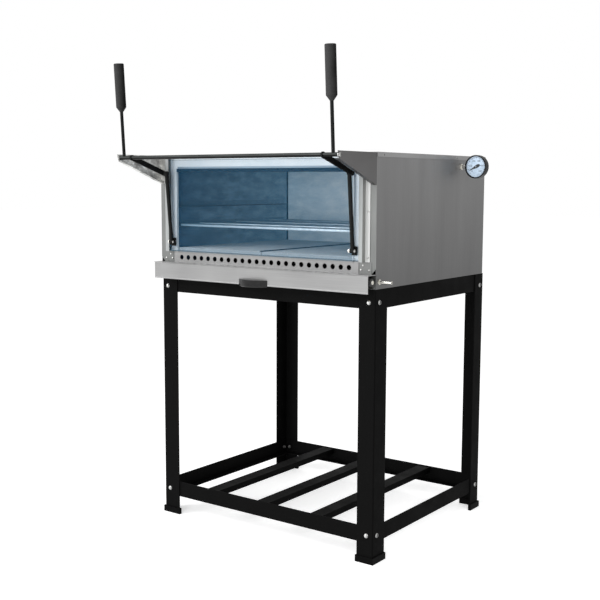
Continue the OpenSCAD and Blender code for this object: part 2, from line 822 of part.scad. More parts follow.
module dial_stem() {
  color("#b8b8b8") datum() difference() {
    union() {
      rod_x(half_open - probe_reach, half_w + stem_nut_l, dial_y, dial_z, probe_d);
      along_x(half_w, dial_y, dial_z) cylinder(h = stem_nut_l, d = stem_nut_d, $fn = 6);
      rod_x(half_w + stem_nut_l / 2, dial_x - dial_in_r, dial_y, dial_z, stem_neck_d);
    }
    rod_y(dial_x, dial_front - over, dial_front + dial_case_t + over, dial_z, dial_case_d + run_clear);
  }
}
module dial_case() {
  r = dial_case_d / 2;
  edge = dial_rim / 3;
  color("#d0d0ce") datum() along_y(dial_x, dial_front, dial_z) rotate_extrude($fn = 72)
    polygon([[0, dial_case_t], [r - 2 * edge, dial_case_t], [r, dial_case_t - 2 * edge], [r, edge],
      [r - edge, 0], [dial_in_r, 0], [dial_in_r, dial_depth], [0, dial_depth]]);
}
module dial_plate() {
  color("#f2f2ee") datum() union() {
    rod_y(dial_x, dial_front + dial_depth - dial_plate_t, dial_front + dial_depth, dial_z,
      2 * dial_in_r - slip);
    rod_y(dial_x, dial_front + lens_depth + lens_t + slip, dial_front + dial_depth, dial_z, dial_pin_d);
  }
}
// Tapered hand with a round hub and a short tail, as shares of the dial's radius
tip_share = 0.72;
tail_share = 0.26;
module dial_pointer() {
  tip = dial_in_r * tip_share;
  tail = dial_in_r * tail_share;
  hub = dial_pin_d * 1.8;
  half = hub * 0.4;
  color("#1d1d1d") datum()
    translate([dial_x, dial_front + dial_depth - dial_plate_t - slip, dial_z])
      rotate([90, 180 - pointer_slope, 0]) difference() {
        union() {
          linear_extrude(pointer_t)
            polygon([[-tail, -half], [0, -half], [tip, 0], [0, half], [-tail, half]]);
          cylinder(h = pointer_t, r = hub);
        }
        translate([0, 0, -over]) cylinder(h = pointer_t + 2 * over, d = dial_pin_d + 2 * run_clear);
      }
}
module dial_lens() {
  color("#dfe8ee", 0.35) datum()
    rod_y(dial_x, dial_front + lens_depth, dial_front + lens_depth + lens_t, dial_z, 2 * dial_in_r - slip);
}

// Crumb drawer

tray_drop = 6;
tray_z = pan_z - tray_drop - tray_h;
tray_play = 1;
hanger_t = 2;
tray_w = body_w - 2 * tray_side;
hanger_x = tray_w / 2 + tray_play;
hanger_lip = 16;
hanger_y0 = 8;
hanger_back_gap = 13;
tray_y = -ledge_d + sheet;
tray_l = body_d - tray_back - tray_y;
hanger_y1 = tray_y + tray_l - hanger_back_gap;
module drawer_runners() {
  foot = tray_z - slip - hanger_t;
  color("#8f9091") datum() right_and_left() {
    box([hanger_x, hanger_y0, foot], [hanger_x + hanger_t, hanger_y1, pan_z]);
    box([hanger_x - hanger_lip, hanger_y0, foot], [hanger_x + hanger_t, hanger_y1, foot + hanger_t]);
    box([hanger_x, hanger_y0, pan_z - hanger_t], [hanger_x + hanger_lip / 2, hanger_y1, pan_z]);
  }
}
module crumb_tray() {
  color("#a5a6a7") datum()
    box([-tray_w / 2, tray_y, tray_z], [tray_w / 2, tray_y + tray_l, tray_z + tray_t]);
}
// The tray's four folded-up walls, open at the corners
module tray_walls() {
  floor_top = tray_z + tray_t;
  rim = tray_z + tray_h;
  corner = tray_w / 2 - tray_t - slip;
  color("#a5a6a7") datum() {
    right_and_left()
      box([tray_w / 2 - tray_t, tray_y, floor_top], [tray_w / 2, tray_y + tray_l, rim]);
    for (y = [tray_y, tray_y + tray_l - tray_t]) box([-corner, y, floor_top], [corner, y + tray_t, rim]);
  }
}
front_top = strip_z - sheet - 2 * slip;
front_z = front_top - drawer_front_h;
front_x = half_w - 2 * sheet;
front_hem = 2.5;
module drawer_front() {
  color("#b6b7b8") datum() union() {
    box([-front_x, -ledge_d, front_z], [front_x, tray_y, front_top]);
    for (z = [front_z, front_top - sheet])
      box([-front_x, -ledge_d, z], [front_x, -ledge_d + front_hem, z + sheet]);
  }
}
// Bow handle: a slice of an upright ring with bevelled edges, proud of the drawer front
handle_drop = 4;
handle_z = front_z - handle_drop;
module drawer_handle() {
  r = (handle_w * handle_w / 4 + handle_reach * handle_reach) / (2 * handle_reach);
  b = handle_bevel;
  color("#161616") datum() difference() {
    translate([0, -ledge_d - handle_reach + r, handle_z]) rotate_extrude($fn = 96)
      polygon([[r - handle_t, 0], [r - b, 0], [r, b], [r, handle_h - b], [r - b, handle_h],
        [r - handle_t, handle_h]]);
    box([-r - over, -ledge_d, handle_z - over], [r + over, 2 * r, handle_z + handle_h + over]);
  }
}

// Door

bracket_half_w = 9;
bracket_t = 2;
bracket_half_h = 13;
glass_bolt_d = 5;
glass_bolt_head_d = 1.6 * glass_bolt_d;
glass_nut_d = 2 * glass_bolt_d;
glass_bolt_dz = 8;
washer_t = 1.2;
ear_t = 2.5;
ear_r = 7;
ear_in = eye_w / 2 + slip;
eye_over = 1;
pin_head_d = link_pin_d * 1.7;
pin_head_h = link_pin_d * 0.75;
module door_glass() {
  color("#8fb4c8", 0.4) datum() difference() {
    box([-half_glass, glass_y, glass_z], [half_glass, glass_y + glass_t, glass_z + glass_h]);
    right_and_left() for (dz = [-glass_bolt_dz, glass_bolt_dz])
      rod_y(link_x, glass_y - over, glass_y + glass_t + over, foot_z + dz,
        glass_bolt_d + 2 * bolt_clear);
  }
}
// Clamp plate with two screws through the glass and a clevis for the link
module door_brackets() {
  front = glass_y - bracket_t;
  back = glass_y + glass_t;
  color("#23272a") datum() right_and_left() {
    difference() {
      union() {
        box([link_x - bracket_half_w, front, foot_z - bracket_half_h],
          [link_x + bracket_half_w, glass_y, foot_z + bracket_half_h]);
        for (x = [link_x - ear_in - ear_t, link_x + ear_in]) {
          rod_x(x, x + ear_t, foot_y, foot_z, 2 * ear_r);
          box([x, foot_y, foot_z - ear_r], [x + ear_t, front, foot_z + ear_r]);
        }
      }
      rod_x(link_x - link_d, link_x + link_d, foot_y, foot_z, link_pin_d + 2 * bolt_clear);
    }
    for (dz = [-glass_bolt_dz, glass_bolt_dz]) {
      translate([link_x, front, foot_z + dz]) rotate([90, 0, 0])
        dome(glass_bolt_head_d, glass_bolt_d * 0.3);
      rod_y(link_x, front, back + washer_t, foot_z + dz, glass_bolt_d);
      rod_y(link_x, back, back + washer_t, foot_z + dz, glass_nut_d);
    }
  }
}
// Bright pins of the clevises, domed at both ends
module link_pins() {
  color("#d2d2cf") datum() right_and_left() {
    rod_x(link_x - ear_in - ear_t, link_x + ear_in + ear_t, foot_y, foot_z, link_pin_d);
    translate([link_x, foot_y, foot_z]) right_and_left()
      along_x(ear_in + ear_t, 0, 0) dome(pin_head_d, pin_head_h);
  }
}

// Lifting gear

spacer_t = 2.7;
shaft_half = half_w - sheet - slip - spacer_t;
pivot_grip = 18;
pivot_head_d = pivot_d * 1.6;
pivot_head_h = pivot_d * 0.6;
spacer_d = pivot_d * 1.5;
// Heads of the pivots at the cranks' ends
crank_head_d = crank_end_d * 0.75;
crank_head_h = crank_t * 0.8;
crank_x = link_x + max(eye_w, link_d) / 2 + 3 * slip;

module shaft() {
  color("#2a2a2a") datum() difference() {
    rod_x(-shaft_half, shaft_half, shaft_y, shaft_z, shaft_d);
    right_and_left()
      rod_x(shaft_half - pivot_grip - run_clear, shaft_half + over, shaft_y, shaft_z,
        pivot_d + 2 * run_clear);
  }
}
module pivot_bolts() {
  color("#d6d6d6") datum() right_and_left() {
    rod_x(shaft_half - pivot_grip, half_w + slip, shaft_y, shaft_z, pivot_d);
    along_x(half_w + slip, shaft_y, shaft_z) dome(pivot_head_d, pivot_head_h);
    along_x(shaft_half, shaft_y, shaft_z) cylinder(h = spacer_t, d = spacer_d);
  }
}

// Tapered flat bar between two round ends. Its flanks run just inside their common tangents, so
// that plane and curved faces cross instead of touching.
flank_inset = 0.1;
module cranks() {
  hub_r = crank_hub_d / 2 - flank_inset;
  end_r = crank_end_d / 2 - flank_inset;
  turn = acos((hub_r - end_r) / crank_len);
  ends = [for (side = [-1, 1]) [cos(side * turn), sin(side * turn)]];
  color("#232323") datum() right_and_left()
    translate([crank_x, shaft_y, shaft_z]) rotate([-crank_slope, 0, 0]) difference() {
      union() {
        extrude_x(0, crank_t) polygon([hub_r * ends[0], [crank_len, 0] + end_r * ends[0],
          [crank_len, 0] + end_r * ends[1], hub_r * ends[1]]);
        rod_x(0, crank_t, 0, 0, crank_hub_d);
        rod_x(0, crank_t, crank_len, 0, crank_end_d);
        along_x(crank_t, crank_len, 0) dome(crank_head_d, crank_head_h);
      }
      rod_x(-over, crank_t + over, 0, 0, shaft_d + run_clear);
    }
}

module arm_frame() { translate([arm_x, shaft_y, shaft_z]) rotate([arm_lean, 0, 0]) children(); }
module arm_rods() {
  color("#262626") datum() right_and_left() difference() {
    arm_frame() cylinder(h = arm_len - weight_len, d = arm_d);
    rod_x(arm_x - arm_d, arm_x + arm_d, shaft_y, shaft_z, shaft_d + run_clear);
  }
}
module weights() {
  r = weight_d / 2;
  edge = weight_taper / 8;
  foot = arm_d * 0.56;
  color("#2b2b2b") datum() right_and_left() arm_frame() translate([0, 0, arm_len - weight_len])
    rotate_extrude() polygon([[0, 0], [foot, 0], [r, weight_taper], [r, weight_len - edge],
      [r - edge, weight_len], [0, weight_len]]);
}

// Link rod with a bored lower eye on the door's pin and an upper eye beside the crank's end
module link(left) {
  eye_d = link_d + eye_over;
  color("#1f2426") datum() mirror([left, 0, 0])
    translate([link_x, foot_y, foot_z]) rotate([link_lean, 0, 0]) difference() {
      union() {
        cylinder(h = link_len, d = link_d);
        rod_x(-eye_w / 2, eye_w / 2, 0, 0, eye_d);
        rod_x(-eye_w / 2, link_d / 2 + slip, 0, link_len, crank_end_d);
        mirror([1, 0, 0]) along_x(eye_w / 2, 0, link_len) dome(crank_head_d, crank_head_h);
      }
      rod_x(-link_d, link_d, 0, 0, link_pin_d + 2 * run_clear);
      for (side = [0, 1]) mirror([side, 0, 0])
        box([eye_w / 2, -eye_d, -eye_d], [link_d, eye_d, ear_r + slip]);
    }
}
module link_left() { link(1); }
module link_right() { link(0); }

leg_fl();
leg_fr();
leg_rl();
leg_rr();
feet();
rail_top_front();
rail_top_rear();
rail_top_left();
rail_top_right();
rail_low_front();
rail_low_rear();
rail_low_left();
rail_low_right();
slats();
fasteners();
side_panel_left();
side_panel_right();
top_cover();
back_panel();
base_pan();
front_frame();
burner_strip();
corner_plates();
guide_left();
guide_right();
cheek_left();
cheek_right();
liner_left();
liner_right();
liner_back();
liner_top();
stone_bearers();
stones();
rack_runners();
wire_rack();
burner();
gas_pipe();
gas_valve();
gas_inlet();
valve_knob();
dial_stem();
dial_case();
dial_plate();
dial_pointer();
dial_lens();
drawer_runners();
crumb_tray();
tray_walls();
drawer_front();
drawer_handle();
door_glass();
door_brackets();
link_pins();
shaft();
cranks();
arm_rods();
weights();
pivot_bolts();
link_left();
link_right();
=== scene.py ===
"""Looks of a gas pizza oven on an open stand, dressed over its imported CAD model. Metres throughout."""
import math

import bmesh
import bpy
import numpy as np
from mathutils import Matrix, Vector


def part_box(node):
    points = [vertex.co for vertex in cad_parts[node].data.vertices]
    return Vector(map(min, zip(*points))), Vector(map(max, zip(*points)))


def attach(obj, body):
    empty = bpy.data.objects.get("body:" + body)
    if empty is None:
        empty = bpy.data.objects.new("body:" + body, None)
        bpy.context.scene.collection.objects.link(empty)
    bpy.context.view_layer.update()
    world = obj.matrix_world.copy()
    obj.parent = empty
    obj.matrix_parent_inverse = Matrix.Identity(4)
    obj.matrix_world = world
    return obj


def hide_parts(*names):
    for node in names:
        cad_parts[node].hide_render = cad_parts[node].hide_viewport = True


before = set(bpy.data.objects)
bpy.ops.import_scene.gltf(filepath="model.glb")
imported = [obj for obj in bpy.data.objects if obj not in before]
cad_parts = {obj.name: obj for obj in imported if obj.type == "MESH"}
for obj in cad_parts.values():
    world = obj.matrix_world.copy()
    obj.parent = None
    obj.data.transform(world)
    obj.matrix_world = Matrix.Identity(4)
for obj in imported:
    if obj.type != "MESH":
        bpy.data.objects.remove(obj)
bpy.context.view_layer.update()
MM = 0.001


# Colours and shader nodes

WHITE, BLACK = "#ffffff", "#000000"
LEFT, RIGHT = (-1.0, 0.0, 0.0), (1.0, 0.0, 0.0)
FRONT, UP, DOWN = (0.0, -1.0, 0.0), (0.0, 0.0, 1.0), (0.0, 0.0, -1.0)


def linear(code):
    """Linear RGBA of an sRGB hex colour: c/12.92 below 0.04045, else ((c + 0.055)/1.055)^2.4."""
    srgb = np.array([int(code[i:i + 2], 16) for i in (1, 3, 5)]) / 255
    rgb = np.where(srgb <= 0.04045, srgb / 12.92, ((srgb + 0.055) / 1.055) ** 2.4)
    return (*rgb.tolist(), 1.0)


def add(tree, kind, inputs=(), **settings):
    """Adds a node, sets its properties, and sets or links each of its (input, value or output) pairs."""
    node = tree.nodes.new(kind)
    for key, value in settings.items():
        setattr(node, key, value)
    for name, value in inputs:
        if isinstance(value, bpy.types.NodeSocket):
            tree.links.new(value, node.inputs[name])
        else:
            node.inputs[name].default_value = value
    return node


def finish(name, colour, sockets):
    """A material with one Principled shader in an sRGB hex colour; returns the material, tree and shader."""
    material = bpy.data.materials.new(name)
    material.use_nodes = True
    material.node_tree.nodes.clear()
    tree = material.node_tree
    shader = add(tree, "ShaderNodeBsdfPrincipled", [("Base Color", linear(colour)), *sockets])
    add(tree, "ShaderNodeOutputMaterial", [("Surface", shader.outputs["BSDF"])])
    return material, tree, shader


def dress(tree, shader, shade=None, worn=None, roughness=(0.0, 1.0), span=(0.3, 0.7), raised=None, depth=0.0,
          strength=1.0):
    """Gives the shader what it is handed: a shade, a roughness that runs between two values while the worn
    pattern runs over its span, and a relief that the raised pattern lifts by a depth in metres."""
    if shade is not None:
        tree.links.new(shade, shader.inputs["Base Color"])
    if worn is not None:
        rough = add(tree, "ShaderNodeMapRange",
                    [("Value", worn), ("From Min", span[0]), ("From Max", span[1]),
                     ("To Min", roughness[0]), ("To Max", roughness[1])])
        tree.links.new(rough.outputs["Result"], shader.inputs["Roughness"])
    if raised is not None:
        bump = add(tree, "ShaderNodeBump", [("Height", raised), ("Distance", depth), ("Strength", strength)])
        tree.links.new(bump.outputs["Normal"], shader.inputs["Normal"])


def tint(tree, shade, colour, pattern, amount=(0.0, 1.0), span=(0.3, 0.7), mode="MIX"):
    """Mixes a colour into a shade, each an sRGB hex code or an output: by the first amount where the pattern
    starts its span, by the second where it ends it, and in proportion between them."""
    share = add(tree, "ShaderNodeMapRange",
                [("Value", pattern), ("From Min", span[0]), ("From Max", span[1]),
                 ("To Min", amount[0]), ("To Max", amount[1])])
    ends = [linear(c) if isinstance(c, str) else c for c in (shade, colour)]
    return add(tree, "ShaderNodeMix", [(0, share.outputs["Result"]), (6, ends[0]), (7, ends[1])],
               data_type="RGBA", blend_type=mode).outputs[2]


def place(tree, size, turn=(0, 0, 0)):
    """The piece's own coordinates, turned, in units of a pattern's size: metres along each axis, or one size
    for all."""
    coordinates = add(tree, "ShaderNodeTexCoord")
    scale = (1 / np.broadcast_to(size, 3)).tolist()
    return add(tree, "ShaderNodeMapping", [("Vector", coordinates.outputs["Object"]), ("Scale", scale),
                                           ("Rotation", turn)]).outputs["Vector"]


def cloud(tree, size, detail, roughness=0.5):
    """Soft noise from 0 to 1 in features of a size in metres."""
    return add(tree, "ShaderNodeTexNoise", [("Vector", place(tree, size)), ("Scale", 1.0), ("Detail", detail),
                                            ("Roughness", roughness)]).outputs["Fac"]


def crystals(tree, size):
    """A random value from 0 to 1 for each crystal of a metal coating, with crystals of a size in metres."""
    cells = add(tree, "ShaderNodeTexVoronoi", [("Vector", place(tree, size)), ("Scale", 1.0)], feature="F1")
    return add(tree, "ShaderNodeSeparateColor", [("Color", cells.outputs["Color"])]).outputs["Red"]


def facing(tree, direction):
    """How far the surface faces a direction: the dot product of its normal and the direction."""
    normal = add(tree, "ShaderNodeNewGeometry").outputs["Normal"]
    return add(tree, "ShaderNodeVectorMath", [(0, normal), (1, direction)],
               operation="DOT_PRODUCT").outputs["Value"]


def along(tree, axis):
    """The place along one axis of the piece's own coordinates, in metres."""
    coordinates = add(tree, "ShaderNodeTexCoord")
    return add(tree, "ShaderNodeSeparateXYZ", [("Vector", coordinates.outputs["Object"])]).outputs[axis]


# Materials, each named for what it is and how its surface was made, and some for the light or shade
# painted into them

# The marks of belts, rolls and dies lie about 0.2 mm apart on real sheet; they are drawn 1.6 mm apart and
# 160 mm long so that they show
MARK_PITCH, MARK_LENGTH, MARK_DEPTH = 1.6 * MM, 160 * MM, 0.02 * MM
UPRIGHT_MARKS = (MARK_PITCH, MARK_PITCH, MARK_LENGTH)
# Width of a crystal in a zinc or aluminium coating
CRYSTAL = 2.8 * MM
# The way that the painted light on the black coats comes from: the front and the left
PAINTED_LIGHT_SIDE = (-0.81, -0.59, 0.0)
# How far the rack darkens from its left end
LEFT_DARK_LENGTH = 0.6
# How far the back liner's painted shade, darkest at its left edge, reaches from that edge
BACK_SHADE_LENGTH = 0.3


def brushed_sheet(name, light, dark, lengthwise, roughness):
    """Stainless sheet brushed with a belt: fine scratches along the named axes that stretch every highlight,
    over soft clouds 190 mm wide."""
    material, tree, shader = finish(name, light, [("Metallic", 0.85)])
    scratches = cloud(tree, [MARK_LENGTH if axis in lengthwise else MARK_PITCH for axis in "xyz"], 2.0)
    shade = tint(tree, dark, light, cloud(tree, 190 * MM, 2.0))
    shade = tint(tree, shade, WHITE, scratches, (0.0, 0.16), mode="SOFT_LIGHT")
    dress(tree, shader, shade, scratches, (roughness - 0.05, roughness + 0.06),
          raised=scratches, depth=MARK_DEPTH)
    return material


def panel_sheet(name, head, foot, upward_shade, roughness):
    """Mill-finish stainless panel with painted shade: darker towards its foot and on the upward faces of
    its folds, with soft upright clouds 70 mm wide and fine rolling marks."""
    material, tree, shader = finish(name, head, [("Metallic", 0.85)])
    clouds = cloud(tree, (70 * MM, 70 * MM, 500 * MM), 1.5)
    marks = cloud(tree, UPRIGHT_MARKS, 2.0)
    # Painted shade: the panel darkens from its head down to its foot
    shade = tint(tree, foot, head, along(tree, "Z"), span=(panel_low.z, panel_high.z))
    shade = tint(tree, shade, WHITE, clouds, (0.0, 0.3), mode="SOFT_LIGHT")
    shade = tint(tree, shade, WHITE, marks, (0.0, 0.12), mode="SOFT_LIGHT")
    # Painted shade: faces turned upwards take the dark colour
    shade = tint(tree, shade, upward_shade, facing(tree, UP), span=(0.5, 0.9))
    dress(tree, shader, shade, clouds, (roughness - 0.05, roughness + 0.06), raised=marks, depth=MARK_DEPTH)
    return material


def guide_steel(name, face, flange, side, roughness):
    """Folded stainless strip, drawn lengthwise, with painted light and shade: its flange behind is painted
    lighter than its lip in front, and its right sides are painted darker."""
    material, tree, shader = finish(name, face, [("Metallic", 0.4)])
    drawn = cloud(tree, UPRIGHT_MARKS, 2.0)
    # Painted light and shade: the flange behind is lighter than the lip in front
    shade = tint(tree, face, flange, along(tree, "Y"), span=(face_y - 4 * MM, face_y - 2 * MM))
    # Painted shade: faces turned to the right are darker
    shade = tint(tree, shade, side, facing(tree, RIGHT))
    shade = tint(tree, shade, WHITE, drawn, (0.0, 0.15), mode="SOFT_LIGHT")
    dress(tree, shader, shade, drawn, (roughness - 0.04, roughness + 0.06), raised=drawn, depth=MARK_DEPTH)
    return material


def heated_liner(name, near, far, axis, start, end, metallic, roughness):
    """Aluminised steel liner blued by heat, with painted shade that lightens along an axis between two places
    in metres, over fine crystals and wiped stains 60 mm long and 25 mm high, some sooty and some bright."""
    material, tree, shader = finish(name, near, [("Metallic", metallic), ("Specular IOR Level", 0.2)])
    stain = cloud(tree, (60 * MM, 60 * MM, 25 * MM), 5.0, 0.6)
    # Painted shade: darker at the start of the span, lighter at its end
    shade = tint(tree, near, far, along(tree, axis), span=(start, end))
    shade = tint(tree, shade, BLACK, stain, (0.35, 0.0), (0.35, 0.5), "SOFT_LIGHT")
    shade = tint(tree, shade, WHITE, stain, (0.0, 0.55), (0.5, 0.68), "SOFT_LIGHT")
    shade = tint(tree, shade, WHITE, crystals(tree, CRYSTAL), (0.0, 0.25), (0.0, 1.0), "SOFT_LIGHT")
    dress(tree, shader, shade, stain, (roughness, roughness + 0.15), raised=stain, depth=0.15 * MM)
    return material


def spangled_sheet(name, light, dark, roughness):
    """Hot-dip coated steel sheet: flat crystals, each of its own grey, under stains 110 mm wide."""
    material, tree, shader = finish(name, light, [("Metallic", 0.9)])
    grey = crystals(tree, CRYSTAL)
    shade = tint(tree, dark, light, grey, span=(0.0, 1.0))
    shade = tint(tree, shade, dark, cloud(tree, 110 * MM, 4.0), (0.0, 0.5))
    dress(tree, shader, shade, grey, (roughness, roughness + 0.14), (0.0, 1.0), grey, 0.01 * MM)
    return material


def powder_coat(name, colour, dust_and_light, roughness, grain):
    """Powder coat baked on steel: a satin skin with orange peel of a given grain in metres, dust in patches
    60 mm wide, and painted light that makes its faces towards the front and left paler."""
    material, tree, shader = finish(name, colour, [("Specular IOR Level", 0.03)])
    dust = cloud(tree, 60 * MM, 5.0, 0.6)
    # Painted light: faces turned to the front and left are paler
    shade = tint(tree, colour, dust_and_light, facing(tree, PAINTED_LIGHT_SIDE), span=(-0.9, 1.0))
    shade = tint(tree, shade, dust_and_light, dust, (0.0, 0.35), (0.35, 0.75))
    dress(tree, shader, shade, dust, (roughness - 0.05, roughness + 0.1),
          raised=cloud(tree, grain, 2.0), depth=0.06 * MM, strength=0.6)
    return material


def painted_sheen_coat(name, colour, sheen):
    """Powder coat on the cross shaft with a painted highlight: a grey band that leaves out its top and its
    underside, broken into streaks 90 mm long and 8 mm wide."""
    material, tree, shader = finish(name, colour, [("Roughness", 0.4), ("Specular IOR Level", 0.1)])
    streaks = cloud(tree, (90 * MM, 8 * MM, 8 * MM), 4.0)
    # Painted highlight: a grey band along the shaft's upper flank, broken into streaks
    shade = tint(tree, colour, sheen, streaks, (0.6, 1.0))
    shade = tint(tree, colour, shade, facing(tree, DOWN), span=(-0.95, -0.75))
    shade = tint(tree, colour, shade, facing(tree, UP), span=(-0.25, 0.05))
    dress(tree, shader, shade, raised=streaks, depth=0.03 * MM)
    return material


def moulded_plastic(name, colour, pale, roughness, gloss):
    """Injection-moulded black plastic: a spark-eroded grain, a slight bloom in patches 25 mm wide, and
    painted light that makes its upper faces paler. Real grain is about 0.1 mm wide; it is drawn 0.8 mm wide
    so that it shows."""
    material, tree, shader = finish(name, colour, [("Specular IOR Level", gloss)])
    grain = cloud(tree, 0.8 * MM, 1.0)
    shade = tint(tree, colour, pale, cloud(tree, 25 * MM, 3.0), (0.0, 0.5))
    # Painted light: upper faces are paler
    shade = tint(tree, shade, pale, facing(tree, UP), span=(0.2, 0.8))
    dress(tree, shader, shade, grain, (roughness, roughness + 0.12),
          raised=grain, depth=0.04 * MM, strength=0.5)
    return material


def plated(name, light, dark, roughness):
    """Bright plating on small turned parts: even metal with faint patches 6 mm wide, and painted shade on
    faces turned to the right.
    """
    material, tree, shader = finish(name, light, [("Metallic", 1.0)])
    patch = cloud(tree, 6 * MM, 2.0)
    shade = tint(tree, light, dark, patch, (0.0, 0.4))
    # Painted shade: faces turned to the right are darker
    shade = tint(tree, shade, dark, facing(tree, RIGHT), span=(0.1, 0.9))
    dress(tree, shader, shade, patch, (roughness, roughness + 0.1))
    return material


def nickelled_wire(name, near, far):
    """Dull-nickelled rack wire: darker towards its left end, with 9 mm patches of bright and dull."""
    material, tree, shader = finish(name, far, [("Metallic", 0.2), ("Roughness", 0.35)])
    shade = tint(tree, near, far, along(tree, "X"), span=(liner_low.x, liner_low.x + LEFT_DARK_LENGTH))
    dress(tree, shader, tint(tree, shade, near, cloud(tree, 9 * MM, 2.0), (0.0, 0.35)))
    return material


def runner_strip(name, near, far, flange):
    """Runner folded from the liner's sheet: its upright leg carries the wall's blue and painted shade, and
    its flange is painted near black as shade, with smoke in clouds 20 mm wide."""
    material, tree, shader = finish(name, near, [("Metallic", 0.5), ("Roughness", 0.4)])
    # Painted shade: the leg darkens towards the front like the left liner
    wall = tint(tree, near, far, along(tree, "Y"), span=(0.0, liner_high.y))
    # Painted shade: the flange beyond the upright leg takes the near-black colour
    shade = tint(tree, wall, flange, along(tree, "X"), span=(liner_high.x + 4 * MM, liner_high.x + 6 * MM))
    dress(tree, shader, tint(tree, shade, flange, cloud(tree, 20 * MM, 4.0), (0.0, 0.3)))
    return material


def polished_trim(name, colour, dull, turned_colour):
    """Polished stainless trim, painted pale as the door glass's reflection over it, with soft clouds 80 mm
    wide, and painted shade on its underside.
    """
    material, tree, shader = finish(name, colour, [("Metallic", 0.45)])
    clouds = cloud(tree, 80 * MM, 2.0)
    shade = tint(tree, colour, dull, clouds)
    # Painted shade: faces turned downwards take the dark colour
    shade = tint(tree, shade, turned_colour, facing(tree, DOWN), span=(0.5, 0.9))
    dress(tree, shader, shade, clouds, (0.3, 0.4))
    return material


def scaled_steel(name, light, dark, roughness):
    """Bare steel darkened by heat and smoke: a matt oxide with clouds 30 mm wide and scale of 1.5 mm."""
    material, tree, shader = finish(name, light, [("Metallic", 0.7)])
    oxide = cloud(tree, 30 * MM, 6.0, 0.65)
    dress(tree, shader, tint(tree, light, dark, oxide), oxide, (roughness, roughness + 0.2),
          raised=cloud(tree, 1.5 * MM, 2.0), depth=0.08 * MM, strength=0.5)
    return material


def smoke_and_light_hood(name, light, dark, outside, roughness):
    """Bare steel cheek: its inner face painted far lighter than the same sheet's outer face, as a lit copy,
    and blotched by smoke in clouds 30 mm wide; its outer face plain.
    """
    material, tree, shader = finish(name, light, [("Metallic", 0.7)])
    smoke = cloud(tree, 30 * MM, 6.0, 0.65)
    # Painted light: the inner face's colours are far lighter than the outer face's
    shade = tint(tree, light, dark, smoke)
    shade = tint(tree, shade, outside, facing(tree, LEFT), span=(0.1, 0.6))
    dress(tree, shader, shade, smoke, (roughness, roughness + 0.2))
    return material


def fired_clay(name, pale, scorched, speck, turned_colour):
    """Pressed and fired refractory clay: pale and chalky, scorched in clouds 120 mm wide, speckled with 2 mm
    grog, and darker on its faces turned to the front."""
    material, tree, shader = finish(name, pale, [("Roughness", 0.85), ("Specular IOR Level", 0.3)])
    grog = cloud(tree, 2 * MM, 3.0, 0.7)
    shade = tint(tree, pale, scorched, cloud(tree, 120 * MM, 5.0, 0.6))
    shade = tint(tree, shade, speck, grog, (0.0, 0.35), (0.5, 0.75))
    # Darker on faces turned to the front
    shade = tint(tree, shade, turned_colour, facing(tree, FRONT), span=(0.5, 0.9))
    dress(tree, shader, shade, raised=grog, depth=0.3 * MM, strength=0.7)
    return material


def tempered_glass(name, colour, alpha):
    """Flat tempered glass, polished: see-through with a clear reflection, and a faint haze of cooking film in
    clouds 90 mm wide."""
    material, tree, shader = finish(name, colour, [("Alpha", alpha), ("IOR", 1.52), ("Roughness", 0.02)])
    dress(tree, shader, worn=cloud(tree, 90 * MM, 4.0, 0.6), roughness=(0.02, 0.07))
    return material


def enamel(name, colour, pale, roughness):
    """Stoved enamel: smooth and even, with a faint mottle 12 mm wide."""
    material, tree, shader = finish(name, colour, [("Roughness", roughness), ("Specular IOR Level", 0.15)])
    dress(tree, shader, tint(tree, colour, pale, cloud(tree, 12 * MM, 2.0)))
    return material


def braided_seal(name, colour, pale):
    """Braided glass-fibre door seal, near black: yarns crossing at 45 degrees. Real yarns are 1 mm
    wide. So that they show, they are drawn 1.9 mm wide: a wave repeats after 2 pi / 20 of its unit, which is
    3 mm / 0.5 here."""
    material, tree, shader = finish(name, colour, [("Roughness", 0.9), ("Specular IOR Level", 0.1)])
    yarns = [add(tree, "ShaderNodeTexWave", [("Vector", place(tree, 3 * MM, (0, turn, 0))), ("Scale", 0.5),
                                             ("Distortion", 0.6)]).outputs["Fac"]
             for turn in (math.pi / 4, -math.pi / 4)]
    braid = add(tree, "ShaderNodeMath", [(0, yarns[0]), (1, yarns[1])], operation="MULTIPLY").outputs[0]
    dress(tree, shader, tint(tree, colour, pale, braid, span=(0.0, 0.8)),
          raised=braid, depth=0.5 * MM, strength=0.8)
    return material


panel_low, panel_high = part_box("side_panel_right")
face_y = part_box("guide_left")[1].y
liner_low, liner_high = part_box("liner_left")
glass_low, glass_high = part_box("door_glass")

# The side sheet, also on the back and base, and the right cheek's sheet are the same stainless as the front,
# painted darker as shaded copies of it
side_sheet = panel_sheet("stainless_side_painted_shade", "#727272", "#5a5a5a", "#2b2b2b", 0.55)
cover_sheet = brushed_sheet("mill_finish_stainless_cover", "#8c8c8c", "#7f7f7f", "x", 0.4)
frame_sheet = brushed_sheet("mill_finish_stainless_frame", "#7f807f", "#6e706f", "z", 0.4)
front_sheet = brushed_sheet("brushed_stainless_front", "#9a9a9a", "#8e8e8e", "x", 0.36)
guide_sheet = guide_steel("drawn_stainless_guide", "#979a9a", "#c3c4c3", "#777876", 0.4)
hood_sheet = brushed_sheet("stainless_hood_painted_shade", "#5b5a5a", "#4d4c4c", "y", 0.42)
lit_hood_sheet = smoke_and_light_hood("smoke_stained_steel_hood_painted_light", "#efefec", "#6c6c6b", "#5b5a5a", 0.5)
# The trim's pale colour is a painted reflection of the door glass over it
painted_reflection_trim = polished_trim("stainless_trim_painted_reflection", "#c9d0d4", "#bbc4ca", "#1b3344")
clamp_sheet = brushed_sheet("dull_stainless_seal_clamp", "#8b9ba6", "#7b8b96", "xz", 0.5)
seal_braid = braided_seal("braided_glass_fibre_seal", "#081520", "#1f3140")
